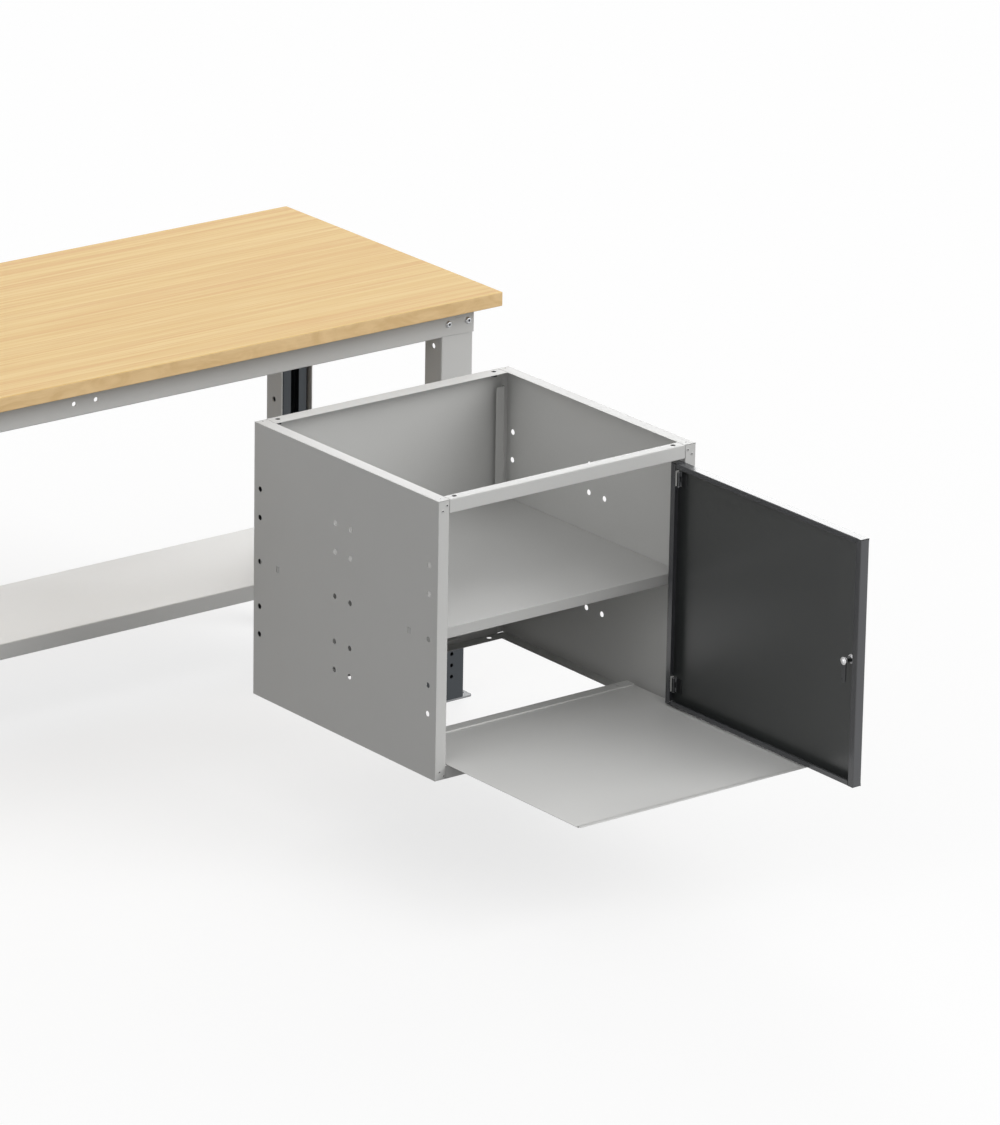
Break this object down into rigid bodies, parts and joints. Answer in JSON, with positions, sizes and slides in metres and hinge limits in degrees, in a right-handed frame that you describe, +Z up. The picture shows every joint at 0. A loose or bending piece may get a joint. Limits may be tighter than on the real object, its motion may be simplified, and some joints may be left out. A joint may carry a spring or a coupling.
{
  "type": "workbench with cabinet",
  "caption": "Steel workbench with a beech top, height-adjustable legs and a lower shelf. Its under-bench cabinet, drawn out, has a shelf, a lockable door and a sliding bottom plate.",
  "frame": {"origin": "on the floor, at the middle of the footprint of the bench and the drawn-out cabinet with its open door", "axes": "+X along the bench to its cabinet end, +Y from the open door to the back of the bench, +Z up"},
  "size_m": [2, 2.0848, 0.89],
  "materials": {
    "light_grey": "light grey powder coat on sheet steel",
    "anthracite": "anthracite powder coat on sheet steel",
    "beech": "oiled beech",
    "zinc": "bright zinc plate",
    "chrome": "polished chrome",
    "steel": "bare steel",
    "black_oxide": "black oxide on steel"
  },
  "bodies": {
    "bench": {"foot_plate_front_left": "zinc", "foot_plate_front_right": "zinc", "foot_plate_rear_left": "zinc", "foot_plate_rear_right": "zinc", "front_rail": "light_grey", "front_rail_bolt_1": "zinc", "front_rail_bolt_2": "zinc", "front_rail_bolt_3": "zinc", "front_rail_bolt_4": "zinc", "inner_leg_front_left": "anthracite", "inner_leg_front_right": "anthracite", "inner_leg_rear_left": "anthracite", "inner_leg_rear_right": "anthracite", "leg_bolt_front_left": "zinc", "leg_bolt_front_right": "zinc", "leg_bolt_rear_left": "zinc", "leg_bolt_rear_right": "zinc", "lower_shelf": "light_grey", "rear_rail": "light_grey", "rear_rail_bolt_1": "zinc", "rear_rail_bolt_2": "zinc", "rear_rail_bolt_3": "zinc", "rear_rail_bolt_4": "zinc", "shelf_angle_left": "light_grey", "shelf_angle_right": "light_grey", "top_crossbar_left": "light_grey", "top_crossbar_right": "light_grey", "upright_front_left": "light_grey", "upright_front_right": "light_grey", "upright_rear_left": "light_grey", "upright_rear_right": "light_grey", "worktop": "beech"},
    "cabinet": {"cabinet_left_side": "light_grey", "cabinet_rear_panel": "light_grey", "cabinet_right_side": "light_grey", "cabinet_shelf": "light_grey", "front_sill": "light_grey", "front_top_rail": "light_grey", "lower_hinge_pin": "steel", "lower_hinge_post_leaf": "zinc", "plate_ledge": "light_grey", "rear_foot_rail": "light_grey", "rear_top_rail": "light_grey", "shelf_clip_front_left": "zinc", "shelf_clip_front_right": "zinc", "shelf_clip_rear_left": "zinc", "shelf_clip_rear_right": "zinc", "upper_hinge_pin": "steel", "upper_hinge_post_leaf": "zinc"},
    "bottom_plate": {"bottom_plate": "light_grey"},
    "door": {"door_panel": "anthracite", "lock_housing": "chrome", "lock_nut": "chrome", "lower_hinge_door_leaf": "zinc", "upper_hinge_door_leaf": "zinc"},
    "lock": {"lock_cam": "black_oxide", "lock_cam_nut": "chrome", "lock_plug": "chrome"}
  },
  "joints": [
    {"name": "cabinet_slide", "type": "slide", "parent": "bench", "child": "cabinet", "axis": [0, 1, 0], "range_m": [0, 0.825]},
    {"name": "plate_slide", "type": "slide", "parent": "cabinet", "child": "bottom_plate", "axis": [0, 1, 0], "range_m": [-0.15, 0.4265]},
    {"name": "door_hinge", "type": "hinge", "parent": "cabinet", "child": "door", "pos_m": [0.8439, -0.47655, 0.5152], "axis": [0, 0, 1], "range_deg": [-90, 0]},
    {"name": "lock_turn", "type": "hinge", "parent": "door", "child": "lock", "pos_m": [0.8499, -1.00645, 0.5137], "axis": [-1, 0, 0], "range_deg": [0, 90]}
  ]
}
